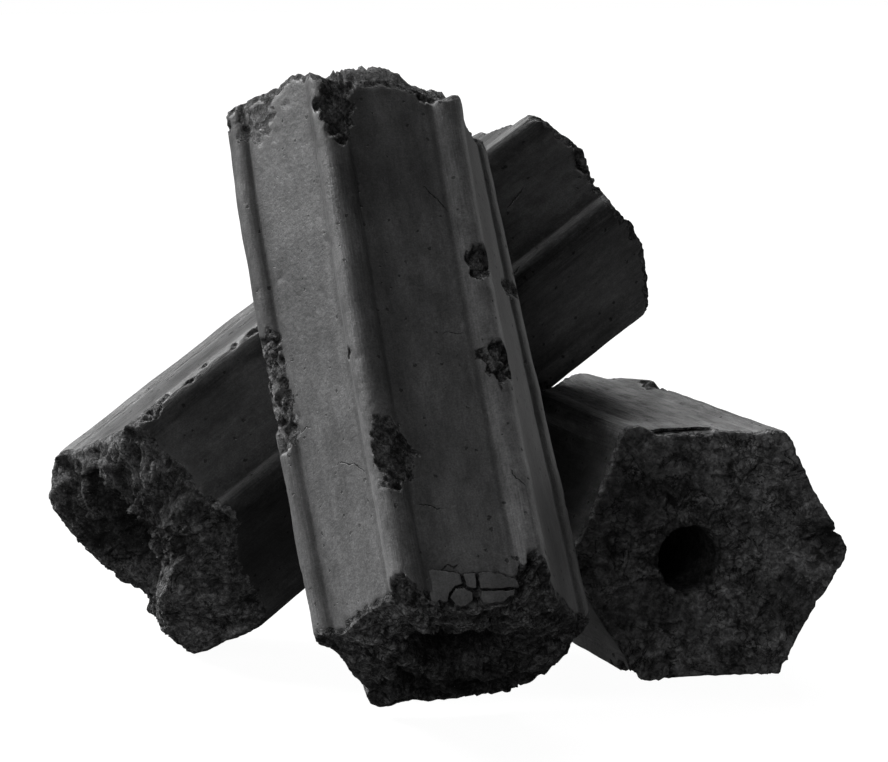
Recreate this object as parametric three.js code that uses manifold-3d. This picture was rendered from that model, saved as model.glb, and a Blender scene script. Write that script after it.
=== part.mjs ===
// A small pile of three extruded hexagonal charcoal sticks: one lies flat on a face, one crosses over it with its foot
// on the ground, and one stands in front and leans back on the crossing one. Each stick is a single pressed and
// carbonised piece with a rounded rib at each of its six corners, flat faces between the ribs, a bore down its middle
// and a snapped, uneven surface at both ends. Cracks have cut a few flakes of skin free at the rims.
// Millimetres, +Z up, the lying stick's axis along +Y, the ground at z = 0.
import * as THREE from "three";
import Module from "manifold-3d";
import { mergeVertices } from "three/addons/utils/BufferGeometryUtils.js";

const wasm = await Module();
wasm.setup();

// ---- driving dimensions ----
const RIB_CREST = 25.0; // axis to the crest of a rib: 50 mm across opposite ribs
const RIB_ROUND = 3.3; // radius of a rib's rounded section
const BORE_R = 6.1; // radius of the bore
const GAP = 0.3; // clearance between a flake and the stick it lies in

// One stick each. crest: axis to rib crest, since sticks from one die shrink by different amounts in the kiln.
// at: the near end of the axis. x, y: the stick's cross axes. along: from the near end to the far end.
// twist: turn from end to end, in radians. bend: sideways bow of the axis. taper, waist: change of section.
// bore: the bore's offset. near, far: how far along the axis the skin begins and ends, every 15 degrees round the
// stick, then halfway to the middle, every 30 degrees, then at the bore.
const STICKS = {
  front_stick: {
    crest: 25.0,
    face: 20.85,
    length: 104.1,
    at: [-59.769, -20.807, 17.593],
    x: [0.9951, -0.0915, 0.0369],
    along: [0.021, 0.562, 0.8269],
    twist: -0.1039,
    bend: [-0.393, 0.008],
    taper: 0.0033,
    waist: 0.0096,
    bore: [-0.9, -0.6],
    near: [
      0.5, -1.0, 0.2, 0.6, 1.6, -1.0, -1.6, -0.8, 0.8, 3.0, 3.0, 1.6, 3.0, 2.2,
      0.6, -1.4, -3.8, -3.7, -4.2, -4.0, -3.8, -3.7, -3.3, -1.8,
    ],
    nearMid: [
      -2.0, -2.5, -1.5, -2.0, 0.5, 0.0, -1.0, -2.0, -4.0, -5.2, -5.0, -4.5,
    ],
    nearCore: -1.5,
    far: [
      98.2, 98.0, 98.6, 99.2, 96.6, 98.6, 100.4, 100.6, 102.2, 106.4, 106.2,
      107.0, 106.6, 105.0, 103.0, 102.0, 103.0, 101.0, 100.0, 102.0, 101.0,
      99.0, 99.0, 98.2,
    ],
    farMid: [
      98.0, 97.0, 99.0, 104.2, 103.6, 103.0, 104.0, 102.0, 101.5, 100.5, 99.5,
      98.5,
    ],
    farCore: 99.5,
  },
  crossing_stick: {
    crest: 26.46,
    face: 21.2,
    length: 122.3,
    at: [-94.639, 54.969, 20.228],
    x: [0.4682, -0.6203, -0.6292],
    along: [0.8317, 0.0688, 0.551],
    twist: 0.0034,
    bend: [-0.339, 0.135],
    taper: -0.0044,
    waist: 0,
    bore: [0.4, -0.4],
    near: [
      7.0, 9.5, 10.0, 10.5, 12.0, 10.5, 12.0, 10.5, 10.0, 8.0, 5.5, 2.8, 1.0,
      -5.5, -6.5, -5.0, -4.5, -2.0, -0.5, 0.7, 2.1, 0.9, -1.4, -2.6,
    ],
    nearMid: [
      -3.5, -2.5, 1.5, 5.0, 3.5, 0.0, -3.0, -6.0, -5.0, -3.0, -2.5, -4.0,
    ],
    nearCore: 0.5,
    far: [
      109.0, 112.4, 113.8, 113.5, 110.4, 111.6, 115.4, 114.6, 112.4, 111.0,
      112.0, 111.0, 109.0, 110.0, 111.5, 110.0, 108.5, 109.5, 111.0, 110.0,
      108.0, 109.0, 110.0, 109.5,
    ],
    farMid: [
      110.5, 111.5, 110.5, 112.5, 112.0, 110.5, 109.0, 109.5, 108.0, 109.0,
      108.5, 109.5,
    ],
    farCore: 109.0,
  },
  right_stick: {
    crest: 26.77,
    face: 21.5,
    length: 72.0,
    at: [0, 0, 0], // its height follows from the rib that it lies on
    x: [1, 0, 0],
    along: [0, 1, 0],
    twist: 0,
    bend: [0, 0],
    taper: 0,
    waist: 0,
    bore: [-2.6, -1.2],
    near: [
      -4.6, -6.3, -5.2, -5.6, -4.0, 0.8, 6.0, 7.6, 8.8, 8.4, 7.0, 5.2, 4.4,
      5.6, 6.6, 4.0, 0.4, -1.6, -3.0, -4.0, -4.6, -4.0, -4.9, -6.0,
    ],
    nearMid: [
      -2.4, -2.6, 0.4, 3.6, 4.4, 4.0, 2.8, 2.4, 0.6, -1.0, -2.0, -2.6,
    ],
    nearCore: 2.2,
    far: [
      66.0, 64.0, 64.0, 66.0, 69.0, 72.0, 66.5, 61.5, 61.0, 63.0, 66.0, 69.0,
      71.0, 70.0, 72.0, 74.0, 72.0, 70.0, 71.0, 73.0, 72.0, 70.0, 69.0, 67.0,
    ],
    farMid: [
      66.0, 64.0, 66.0, 66.0, 64.5, 66.0, 68.0, 70.0, 70.0, 70.0, 69.0, 68.0,
    ],
    farCore: 67.5,
  },
};

// ---- the section ----
// A rib is a many-sided arc about a centre inside its crest; one of its sides is square to the next face, so a stick
// that lies on a face rests on two narrow flats. Between two ribs the face is flat.
function section(face) {
  const centre = RIB_CREST - RIB_ROUND;
  const out = RIB_ROUND / Math.cos(THREE.MathUtils.degToRad(7.5));
  const foot = Math.sqrt(
    RIB_ROUND ** 2 - (face - centre * Math.cos(Math.PI / 6)) ** 2,
  );
  const half = centre * Math.sin(Math.PI / 6) - foot; // half the width of the flat face
  const points = [];
  for (let k = 0; k < 6; k++) {
    const turn = (k * Math.PI) / 3;
    const put = (x, y) =>
      points.push([
        x * Math.cos(turn) - y * Math.sin(turn),
        x * Math.sin(turn) + y * Math.cos(turn),
      ]);
    for (const degrees of [-58, -37.5, -22.5, -7.5, 7.5, 22.5, 37.5, 58]) {
      const a = THREE.MathUtils.degToRad(degrees);
      const radius = Math.abs(degrees) > 40 ? RIB_ROUND : out;
      put(centre + radius * Math.cos(a), radius * Math.sin(a));
    }
    for (const along of [-half, 0, half]) {
      // the face between this rib and the next, whose normal is 30 degrees on
      const n = Math.PI / 6;
      put(
        face * Math.cos(n) - along * Math.sin(n),
        face * Math.sin(n) + along * Math.cos(n),
      );
    }
  }
  return points;
}
// The height of a lying stick's axis, for a crest of RIB_CREST.
const LYING_HEIGHT = (RIB_CREST - RIB_ROUND) * Math.cos(Math.PI / 6) + RIB_ROUND;

// A value read round the stick from a table of equal steps.
function round(table, angle) {
  const t = (((angle / (2 * Math.PI)) % 1) + 1) % 1;
  const i = Math.floor(t * table.length) % table.length;
  const f = t * table.length - Math.floor(t * table.length);
  return table[i] * (1 - f) + table[(i + 1) % table.length] * f;
}

// How far along the axis an end surface stands at the point x, y of the section: the skin's edge, a middle ring and
// the core, joined in straight runs.
function endAt(stick, end, x, y) {
  const scale = stick.crest / RIB_CREST;
  const angle = Math.atan2(y, x);
  const r = Math.hypot(x, y) / (scale * 22.5);
  const rim = round(stick[end], angle),
    mid = round(stick[end + "Mid"], angle),
    core = stick[end + "Core"];
  if (r >= 1) return rim;
  if (r >= 0.6) return mid + ((rim - mid) * (r - 0.6)) / 0.4;
  return core + ((mid - core) * Math.max(0, r - 0.25)) / 0.35;
}

// From the straight stick, w along its axis, to the real one: twisted, bowed and a little uneven in section, then
// set in the pile.
function settle(stick, x, y, w) {
  const u = w / stick.length;
  const turn = stick.twist * (u - 0.5);
  const hump = u * (1 - u) * 4;
  const scale = 1 + stick.taper * (u - 0.5) + stick.waist * (hump - 1);
  const c = Math.cos(turn),
    s = Math.sin(turn);
  const X = (x * c - y * s) * scale + stick.bend[0] * hump,
    Y = (x * s + y * c) * scale + stick.bend[1] * hump;
  const ex = new THREE.Vector3(...stick.x);
  const along = new THREE.Vector3(...stick.along);
  const ey = new THREE.Vector3().crossVectors(ex, along);
  return new THREE.Vector3(...stick.at)
    .addScaledVector(ex, X)
    .addScaledVector(ey, Y)
    .addScaledVector(along, w);
}

function solidFrom(vertices, faces) {
  const geometry = new THREE.BufferGeometry();
  geometry.setAttribute(
    "position",
    new THREE.Float32BufferAttribute(vertices.flatMap((v) => [v.x, v.y, v.z]), 3),
  );
  geometry.setIndex(faces.flat());
  const merged = mergeVertices(geometry, 1e-4);
  const solid = (flip) => {
    const tri = new Uint32Array(merged.index.array);
    if (flip)
      for (let i = 0; i < tri.length; i += 3)
        [tri[i + 1], tri[i + 2]] = [tri[i + 2], tri[i + 1]];
    return new wasm.Manifold(
      new wasm.Mesh({
        numProp: 3,
        vertProperties: new Float32Array(merged.attributes.position.array),
        triVerts: tri,
      }),
    );
  };
  const made = solid(false);
  return made.volume() > 0 ? made : solid(true);
}

function geometryOf(solid) {
  const m = solid.getMesh();
  const positions = new Float32Array(m.numVert * 3);
  for (let i = 0; i < m.numVert; i++)
    positions.set(m.vertProperties.subarray(i * m.numProp, i * m.numProp + 3), i * 3);
  const g = new THREE.BufferGeometry();
  g.setAttribute("position", new THREE.BufferAttribute(positions, 3));
  g.setIndex(new THREE.BufferAttribute(new Uint32Array(m.triVerts), 1));
  const flat = g.toNonIndexed();
  flat.computeVertexNormals();
  return flat;
}

// One closed body: skin, two snapped ends and the bore's wall.
function stickSolid(stick) {
  const scale = stick.crest / RIB_CREST;
  const outer = section(stick.face).map(([x, y]) => [x * scale, y * scale]);
  const n = outer.length;
  const inner = outer.map(([x, y]) => {
    const a = Math.atan2(y, x);
    return [
      stick.bore[0] + BORE_R * Math.cos(a),
      stick.bore[1] + BORE_R * Math.sin(a),
    ];
  });
  const loops = []; // closed loops of n points, in order round the wall of the solid
  const mix = (f) =>
    outer.map(([x, y], i) => [
      x + (inner[i][0] - x) * f,
      y + (inner[i][1] - y) * f,
    ]);
  const stations = [0, 0.16, 0.36, 0.5, 0.64, 0.84, 1];
  for (const t of stations)
    loops.push(
      outer.map(([x, y]) => {
        const a = endAt(stick, "near", x, y),
          b = endAt(stick, "far", x, y);
        return [x, y, a + (b - a) * t];
      }),
    );
  for (const f of [0.34, 0.68])
    loops.push(mix(f).map(([x, y]) => [x, y, endAt(stick, "far", x, y)]));
  for (const t of [1, 0.5, 0])
    loops.push(
      inner.map(([x, y]) => {
        const a = endAt(stick, "near", x, y),
          b = endAt(stick, "far", x, y);
        return [x, y, a + (b - a) * t];
      }),
    );
  for (const f of [0.68, 0.34])
    loops.push(mix(f).map(([x, y]) => [x, y, endAt(stick, "near", x, y)]));
  const vertices = loops.flatMap((loop) =>
    loop.map(([x, y, w]) => settle(stick, x, y, w)),
  );
  const faces = [];
  loops.forEach((_, j) => {
    const a = j * n,
      b = ((j + 1) % loops.length) * n;
    for (let i = 0; i < n; i++) {
      const k = (i + 1) % n;
      faces.push([a + i, a + k, b + k], [a + i, b + k, b + i]);
    }
  });
  return solidFrom(vertices, faces);
}

// A plate in the face between the ribs at 60 and 120 degrees: an outline in (across, along), from depth below the
// face up to rise above it. across runs from the rib at 120 degrees to the rib at 60.
function plateSolid(stick, outline, depth, rise) {
  const face = (stick.face * stick.crest) / RIB_CREST;
  const shape = new THREE.Shape(outline.map(([x, w]) => new THREE.Vector2(x, w)));
  const g = new THREE.ExtrudeGeometry(shape, {
    depth: depth + rise,
    bevelEnabled: false,
  });
  g.deleteAttribute("normal");
  g.deleteAttribute("uv");
  const m = mergeVertices(g, 1e-4);
  const p = m.attributes.position;
  const vertices = [];
  for (let i = 0; i < p.count; i++)
    vertices.push(
      settle(stick, p.getX(i), face - depth + p.getZ(i), p.getY(i)),
    );
  const faces = [];
  for (let i = 0; i < m.index.count; i += 3)
    faces.push([m.index.getX(i), m.index.getX(i + 1), m.index.getX(i + 2)]);
  return solidFrom(vertices, faces);
}

// The lying stick rests on its two lower ribs.
STICKS.right_stick.at[2] = (LYING_HEIGHT * STICKS.right_stick.crest) / RIB_CREST;

// ---- flakes of skin: outlines in (across, along) ----
const FLAKE_DEPTH = 1.5;
const FRONT_FLAKES = {
  front_flake_left: [
    [-7.3, 5.4], [-4.6, 5.2], [-2.2, 4.3], [-2.0, 2.6], [-3.4, 2.3], [-4.7, 1.2],
    [-5.2, -0.2], [-7.4, 0.6],
  ],
  front_flake_splinter: [
    [-1.6, 4.3], [0.5, 4.2], [0.3, 1.5], [-1.3, 2.0],
  ],
  front_flake_pebble: [
    [-4.6, 0.4], [-3.4, 1.8], [-2.0, 1.9], [-0.7, 0.8], [-0.8, -0.5],
    [-2.2, -1.2], [-3.9, -0.9],
  ],
  front_flake_upper: [
    [1.0, 4.2], [4.6, 3.6], [7.6, 2.0], [7.7, 0.9], [4.8, 1.0], [0.8, 1.4],
  ],
  front_flake_lower: [
    [0.9, 0.9], [4.6, 0.5], [6.9, 0.4], [6.6, -0.4], [3.8, -1.2], [0.7, -1.3],
  ],
};
// The pocket that the cracks leave round them.
const FRONT_POCKET = [
  [-7.7, 5.8], [-4.6, 5.6], [-1.9, 4.7], [1.0, 4.6], [4.8, 4.0], [8.0, 2.3],
  [8.1, 0.5], [7.3, 0.1], [7.2, -6], [-7.8, -6],
];
const RIGHT_FLAKES = {
  right_flake_rim: [
    [-8.6, 11.4], [-4.4, 11.6], [0.4, 10.6], [3.8, 9.6], [4.2, 8.2], [0.4, 8.6],
    [-4.4, 9.2], [-8.4, 9.6],
  ],
};
const RIGHT_POCKET = [
  [-9.0, 11.8], [-4.4, 12.0], [0.5, 11.0], [4.6, 9.8], [4.7, 4], [-9.0, 4],
];

const charcoal = (name, color, roughness) => {
  const m = new THREE.MeshStandardMaterial({ color, roughness, metalness: 0 });
  m.name = name;
  return m;
};
const skin = charcoal("charcoal_skin", 0x2b2b2c, 0.6);
const flake = charcoal("charcoal_flake", 0x363637, 0.65);

// The pile's frame: its box centred on x and y over the ground.
const CENTRE = new THREE.Vector3(40.15, -24.514, 0);
const group = new THREE.Group();
group.name = "charcoal_pile";
const pile = new THREE.Group();
pile.position.copy(CENTRE);
group.add(pile);

function add(name, solid, material) {
  const mesh = new THREE.Mesh(geometryOf(solid), material);
  mesh.name = name;
  pile.add(mesh);
}

add("right_stick", stickSolid(STICKS.right_stick).subtract(
  plateSolid(STICKS.right_stick, RIGHT_POCKET, FLAKE_DEPTH + GAP, 5),
), skin);
for (const [name, outline] of Object.entries(RIGHT_FLAKES))
  add(name, plateSolid(STICKS.right_stick, outline, FLAKE_DEPTH, 0), flake);

add("crossing_stick", stickSolid(STICKS.crossing_stick), skin);

add("front_stick", stickSolid(STICKS.front_stick).subtract(
  plateSolid(STICKS.front_stick, FRONT_POCKET, FLAKE_DEPTH + GAP, 5),
), skin);
for (const [name, outline] of Object.entries(FRONT_FLAKES))
  add(name, plateSolid(STICKS.front_stick, outline, FLAKE_DEPTH, 0), flake);

export default group;
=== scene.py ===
"""Looks for the pile of three extruded charcoal sticks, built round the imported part. Metres outside, millimetres in a
stick's own axes: x and y across it, w along it from the near end, angles counterclockwise from x."""

import math

import bpy
import numpy as np
from mathutils import Matrix, Vector


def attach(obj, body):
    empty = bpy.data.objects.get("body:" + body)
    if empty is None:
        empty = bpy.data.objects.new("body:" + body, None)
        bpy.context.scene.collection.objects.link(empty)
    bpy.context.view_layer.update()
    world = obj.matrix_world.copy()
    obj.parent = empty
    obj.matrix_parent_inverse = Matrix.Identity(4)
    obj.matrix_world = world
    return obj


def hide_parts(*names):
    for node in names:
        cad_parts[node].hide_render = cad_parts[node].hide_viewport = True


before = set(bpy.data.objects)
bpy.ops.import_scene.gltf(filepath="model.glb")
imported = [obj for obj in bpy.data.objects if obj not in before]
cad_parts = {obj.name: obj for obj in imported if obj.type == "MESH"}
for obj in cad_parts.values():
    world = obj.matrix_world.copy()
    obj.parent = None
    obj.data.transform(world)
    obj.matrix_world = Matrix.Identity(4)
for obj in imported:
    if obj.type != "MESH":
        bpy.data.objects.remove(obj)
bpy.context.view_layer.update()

# ---------------------------------------------------------------- the sticks, as the part has them
RIB_CREST, RIB_ROUND, BORE_R = 25.0, 3.3, 6.1
CENTRE = (40.15, -24.514, 0.0)
LYING = (RIB_CREST - RIB_ROUND) * math.cos(math.pi / 6) + RIB_ROUND

FRONT = dict(
    seed=11,
    streak=0.12,
    # painted shade over the broken ground of the far end, which faces up into the light
    far_painted_shade=-2.8,
    fracture_tone_with_painted_light=1.15,
    crest=25.0,
    face=20.85,
    crisp=0.18,
    soft=0.34,
    tone=1.0,
    length=104.1,
    at=(-59.769, -20.807, 17.593),
    x=(0.9951, -0.0915, 0.0369),
    along=(0.021, 0.562, 0.8269),
    twist=-0.1039,
    bend=(-0.393, 0.008),
    taper=0.0033,
    waist=0.0096,
    bore=(-0.9, -0.6),
    near=[
        0.5, -1.0, 0.2, 0.6, 1.6, -1.0, -1.6, -0.8, 0.8, 3.0, 3.0, 1.6, 3.0, 2.2,
        0.6, -1.4, -3.8, -3.7, -4.2, -4.0, -4.0, -5.0, -5.1, -3.7,
    ],
    nearMid=[-2.0, -2.5, -1.5, -2.0, 0.5, 0.0, -1.0, -2.0, -4.0, -5.2, -5.0, -4.5],
    nearCore=-1.5,
    far=[
        98.2, 98.0, 98.6, 99.2, 96.6, 98.6, 100.4, 100.6, 102.2, 106.4, 106.2,
        107.0, 106.6, 105.0, 103.0, 102.0, 103.0, 101.0, 100.0, 102.0, 101.0,
        99.0, 99.0, 98.2,
    ],
    farMid=[98.0, 97.0, 99.0, 104.2, 103.6, 103.0, 104.0, 102.0, 101.5, 100.5, 99.5, 98.5],
    farCore=99.5,
)
CROSSING = dict(
    seed=23,
    streak=0.6,
    brushed=150,
    calm=0.15,
    fracture_tone_with_painted_light=1.1,
    crest=26.46,
    face=21.2,
    crisp=0.7,
    soft=1.3,
    tone=0.62,
    length=122.3,
    at=(-94.639, 54.969, 20.228),
    x=(0.4682, -0.6203, -0.6292),
    along=(0.8317, 0.0688, 0.551),
    twist=0.0034,
    bend=(-0.339, 0.135),
    taper=-0.0044,
    waist=0.0,
    bore=(0.4, -0.4),
    near=[
        7.0, 9.5, 10.0, 10.5, 12.0, 10.5, 12.0, 10.5, 10.0, 8.0, 5.5, 2.2, -1.5,
      -6.8, -6.5, -5.0, -4.5, -2.0, -0.5, 0.7, 2.1, 0.9, -1.4, -2.6,
    ],
    nearMid=[
        -3.5, -2.5, 1.5, 5.0, 3.5, 0.0, -3.0, -6.0, -5.0, -3.0, -2.5, -4.0,
    ],
    nearCore=0.5,
    far=[
        109.0, 112.4, 113.8, 113.5, 110.4, 111.6, 115.4, 114.6, 112.4, 111.0,
        112.0, 111.0, 109.0, 110.0, 111.5, 110.0, 108.5, 109.5, 111.0, 110.0,
        108.0, 109.0, 110.0, 109.5,
    ],
    farMid=[110.5, 111.5, 110.5, 112.5, 112.0, 110.5, 109.0, 109.5, 108.0, 109.0, 108.5, 109.5],
    farCore=109.0,
)
RIGHT = dict(
    seed=37,
    streak=0.9,
    brushed=90,
    fracture_tone_with_painted_light=1.55,
    rough=0.62,
    calm=0.65,
    crest=26.77,
    face=21.5,
    crisp=1.0,
    soft=1.6,
    tone=0.75,
    length=72.0,
    at=(0.0, 0.0, LYING * 26.77 / RIB_CREST),
    x=(1.0, 0.0, 0.0),
    along=(0.0, 1.0, 0.0),
    twist=0.0,
    bend=(0.0, 0.0),
    taper=0.0,
    waist=0.0,
    bore=(-2.6, -1.2),
    near=[
        -4.6, -6.3, -5.2, -5.6, -4.0, 0.8, 6.0, 7.6, 8.8, 8.4, 7.0, 5.2, 4.4,
        5.6, 6.6, 4.0, 0.4, -1.6, -3.0, -4.0, -4.6, -4.0, -4.9, -6.0,
    ],
    nearMid=[-2.4, -2.6, 0.4, 3.6, 4.4, 4.0, 2.8, 2.4, 0.6, -1.0, -2.0, -2.6],
    nearCore=2.2,
    far=[
        66.0, 64.0, 63.0, 62.5, 61.0, 71.5, 67.5, 61.5, 61.0, 63.0, 66.0, 69.0,
      71.0, 70.0, 72.0, 74.0, 72.0, 70.0, 71.0, 73.0, 72.0, 70.0, 69.0, 67.0,
    ],
    farMid=[66.0, 64.0, 66.0, 66.0, 64.5, 66.0, 68.0, 70.0, 70.0, 70.0, 69.0, 68.0],
    farCore=67.5,
)

# Breaks in the skin: (angle, along, half width in mm round the stick, half length in mm, how deep below the flat
# faces, how much of the rib's height is left at its floor, seed).
FRONT["chips"] = [
    (178, 45.0, 3.6, 4.2, 0.0, 0.5, 1),
    (178, 54.5, 3.5, 5.2, 0.0, 0.55, 2),
    (175, 40.0, 2.2, 3.0, 0.0, 0.6, 17),
    (115, 27.0, 3.1, 6.6, 0.1, 0.25, 3),
    (115, 96.5, 3.0, 7.6, 0.5, 0.0, 4),
    (113, 102.0, 2.8, 3.4, 0.4, 0.1, 18),
    (121, 1.0, 3.6, 3.6, 0.9, 0.0, 5),
    (60.5, 62.5, 2.7, 3.6, 0.1, 0.25, 6),
    (61, 42.5, 2.9, 4.0, 0.0, 0.35, 7),
    (63, 1.0, 4.0, 4.8, 1.2, 0.0, 8),
    (10, 65.5, 3.0, 1.6, 0.1, 0.45, 9),
    (161, 101.5, 4.8, 4.0, 0.10, 1.0, 10),
    (68, 97.6, 3.4, 1.7, 0.5, 0.1, 19),
    (181, 103.8, 1.4, 1.6, 0.2, 0.5, 20),
    (183, 8.0, 1.2, 1.5, 0.0, 0.5, 11),
    (127, 48.0, 0.7, 0.8, 0.3, 0.3, 12),
    (300, 70.0, 3.6, 8.0, 0.2, 0.25, 13),
    (240, 30.0, 3.6, 6.0, 0.2, 0.25, 14),
    (242, 78.0, 2.6, 3.4, 0.1, 0.4, 15),
    (356, 22.0, 2.6, 4.2, 0.1, 0.4, 16),
]
CROSSING["chips"] = [
    (119, 40.0, 0.6, 1.1, 0.0, 0.8, 1),
    (120, 35.2, 0.65, 0.9, 0.0, 0.8, 2),
    (121, 28.5, 0.45, 0.7, 0.0, 0.8, 8),
    (119, 24.0, 0.5, 0.9, 0.0, 0.8, 12),
    (121, 18.3, 0.6, 1.4, 0.0, 0.8, 13),
    (118, 14.2, 1.2, 1.8, 0.0, 0.7, 15),
    (166, 26.0, 1.2, 1.0, 0.0, 0.9, 14),
    (158, 42.0, 1.6, 2.4, 0.05, 1.0, 9),
    (124, 14.0, 3.0, 4.0, 0.05, 1.0, 10),
    (112, 46.0, 1.4, 3.0, 0.05, 1.0, 11),
    (180, 60.0, 2.6, 6.0, 0.1, 0.4, 3),
    (240, 85.0, 3.4, 7.0, 0.3, 0.25, 4),
    (300, 35.0, 3.2, 5.0, 0.3, 0.25, 5),
    (0, 80.0, 3.0, 4.0, 0.2, 0.3, 6),
    (83, 113.5, 4.2, 2.6, 1.6, 0.0, 7),
]
RIGHT["chips"] = [
    (62, 51.0, 2.0, 5.0, 0.2, 0.35, 1),
    (182, 10.0, 3.0, 4.0, 0.8, 0.1, 2),
    (12, -4.0, 2.4, 2.4, 0.2, 0.4, 3),
    (338, -3.0, 3.0, 2.0, 0.2, 0.4, 4),
    (240, 6.0, 3.0, 5.0, 0.6, 0.1, 5),
    (300, 40.0, 3.4, 7.0, 0.3, 0.25, 6),
    (2, 34.0, 3.0, 6.0, 0.2, 0.3, 7),
    (301, -3.6, 3.6, 2.6, 0.0, 0.6, 8),
]
# Rough ground on an end, above the rest: (x, y, half widths, rise in mm).
FRONT["far_lumps"] = [(-1.6, 17.6, 8.4, 2.9, 2.4), (9.2, 18.0, 3.0, 2.4, 2.0), (-4.5, 17.2, 2.6, 2.4, 1.0)]
FRONT["near_lumps"] = [(-0.9, 1.2, 8.8, 6.2, 2.4), (-8.0, -12.0, 4.5, 2.6, 1.6), (6.0, -13.5, 5.0, 2.4, 1.6)]
CROSSING["near_lumps"] = [
    (16.5, -7.0, 12.2, 17.0, -2.4), (-2.6, 0.8, 6.8, 7.5, 3.8), (-11.5, 5.0, 6.5, 4.2, 3.0), (-9.0, -5.0, 5.0, 4.0, 1.6),
]
RIGHT["near_lumps"] = [(-2.6, -1.2, 7.6, 7.2, 0.7)]
# Painted light and shade on the broken ground of the near end, paler or darker patches: (x, y, half widths, gain).
FRONT["spots"] = [
    (4.0, 18.5, 11.0, 5.0, 1.8), (-14.5, 9.0, 7.0, 9.0, 1.8), (-0.5, 1.0, 5.0, 6.0, 0.35), (2.5, -13.0, 8.0, 5.5, 0.45),
    (12.0, 14.0, 6.0, 6.0, 1.5), (-6.0, 13.0, 6.0, 6.0, 1.4), (-8.0, 3.0, 3.5, 4.0, 1.5),
]
CROSSING["spots"] = [
    (2.0, 12.0, 5.0, 6.0, 0.55), (-7.0, 12.0, 5.0, 5.0, 1.7), (4.5, 20.5, 6.0, 4.5, 0.4), (9.0, 2.0, 3.0, 6.0, 0.55),
]
RIGHT["spots"] = [
    (17.0, -1.0, 4.5, 5.0, 1.45), (-12.0, 11.0, 9.0, 8.0, 0.52), (4.0, -17.0, 11.0, 4.0, 1.75), (12.0, 20.0, 7.0, 4.5, 1.5),
    (14.0, -9.5, 7.0, 3.5, 0.5), (23.0, 3.0, 3.0, 3.0, 0.35),
]
# Where the skin is duller: (angle, along, half widths in degrees and mm, gain).
FRONT["dull"] = []
CROSSING["dull"] = [(150, 60, 30, 400, 0.42), (62, 60, 13, 400, 0.2)]
RIGHT["dull"] = [(75, 70, 40, 20, 0.6)]
# Painted light and shade on the skin, as gains on its colour: paler where a flank faces the light, darker on flanks
# turned away and along the creases beside the ribs: (angle, along, half widths in degrees and mm, gain). The two-number
# gains at the near and far ends: painted light that grows or fades along the stick.
FRONT["fade"] = (1.32, 0.84)
FRONT["shades"] = [
    (128, 50, 5, 400, 1.2), (108, 50, 7, 400, 0.62), (66, 50, 7, 400, 1.75), (56, 40, 7, 70, 1.3), (70.5, 50, 1.3, 400, 0.6), (129.8, 50, 1.1, 400, 0.62),
    (33, 50, 15, 400, 0.42), (2, 50, 10, 400, 0.5), (171.5, 50, 3.5, 400, 0.75), (155, 78, 9, 8, 1.2),
]
CROSSING["fade"] = (1.0, 1.0)
CROSSING["shades"] = [
    (150, 60, 26, 400, 0.43), (117.5, 30, 4.5, 14, 1.6), (90, 20, 20, 34, 0.75), (32, 20, 24, 40, 0.5),
    (22, 98, 30, 26, 2.3), (66, 95, 8, 36, 0.62), (65, 18, 7, 26, 0.6),
]
RIGHT["fade"] = (1.05, 0.9)
RIGHT["shades"] = [(113, 12, 13, 30, 1.8), (85, 12, 25, 30, 1.2), (232, 12, 16, 24, 3.4), (104, 62, 16, 14, 0.75), (150, 20, 20, 40, 0.85)]
# Low swellings of the skin: (angle, along, half widths in degrees and mm, rise in mm).
FRONT["swells"] = [(48, 97, 14, 7, 0.7)]
CROSSING["swells"] = []
RIGHT["swells"] = [(86, 73, 13, 8, 1.5), (60, 55, 5, 5, 0.8)]
# Hairline cracks: points (angle, along), and half the width in mm.
FRONT["cracks"] = [
    ([(110, 18.0), (106, 17.6), (101, 16.6), (97, 16.5)], 0.10),
    ([(80, 79.0), (77, 77.5), (73, 75.5), (69, 73.0)], 0.09),
    ([(169, 39.5), (165, 40.2), (162, 39.5)], 0.12),
    ([(150, 30.0), (146, 30.4), (141, 29.3), (136, 28.6), (130, 26.0)], 0.08),
    ([(84, 49.0), (80, 49.6), (76, 48.8), (72, 49.4)], 0.05),
    ([(66, 22.0), (64, 20.0), (61, 18.5)], 0.08),
    ([(106, 4.0), (103, 5.9), (100, 6.3), (98, 5.6), (95, 6.2)], 0.14),
]
CROSSING["cracks"] = [
    ([(96, 101.0), (94, 97.0), (92, 94.0)], 0.10),
    ([(66, 88.0), (64, 84.0)], 0.08),
]
RIGHT["cracks"] = []


# ---------------------------------------------------------------- seeded noise
def _hash(i, j, k, seed):
    with np.errstate(over="ignore"):
        h = (
            i.astype(np.uint32) * np.uint32(374761393)
            + j.astype(np.uint32) * np.uint32(668265263)
            + k.astype(np.uint32) * np.uint32(2246822519)
            + np.uint32((seed * 3266489917) & 0xFFFFFFFF)
        )
        h = (h ^ (h >> np.uint32(15))) * np.uint32(2246822519)
        h = (h ^ (h >> np.uint32(13))) * np.uint32(3266489917)
        h = h ^ (h >> np.uint32(16))
    return h


def rand(i, j, k, seed):
    return _hash(i, j, k, seed).astype(np.float64) / 4294967295.0


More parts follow.
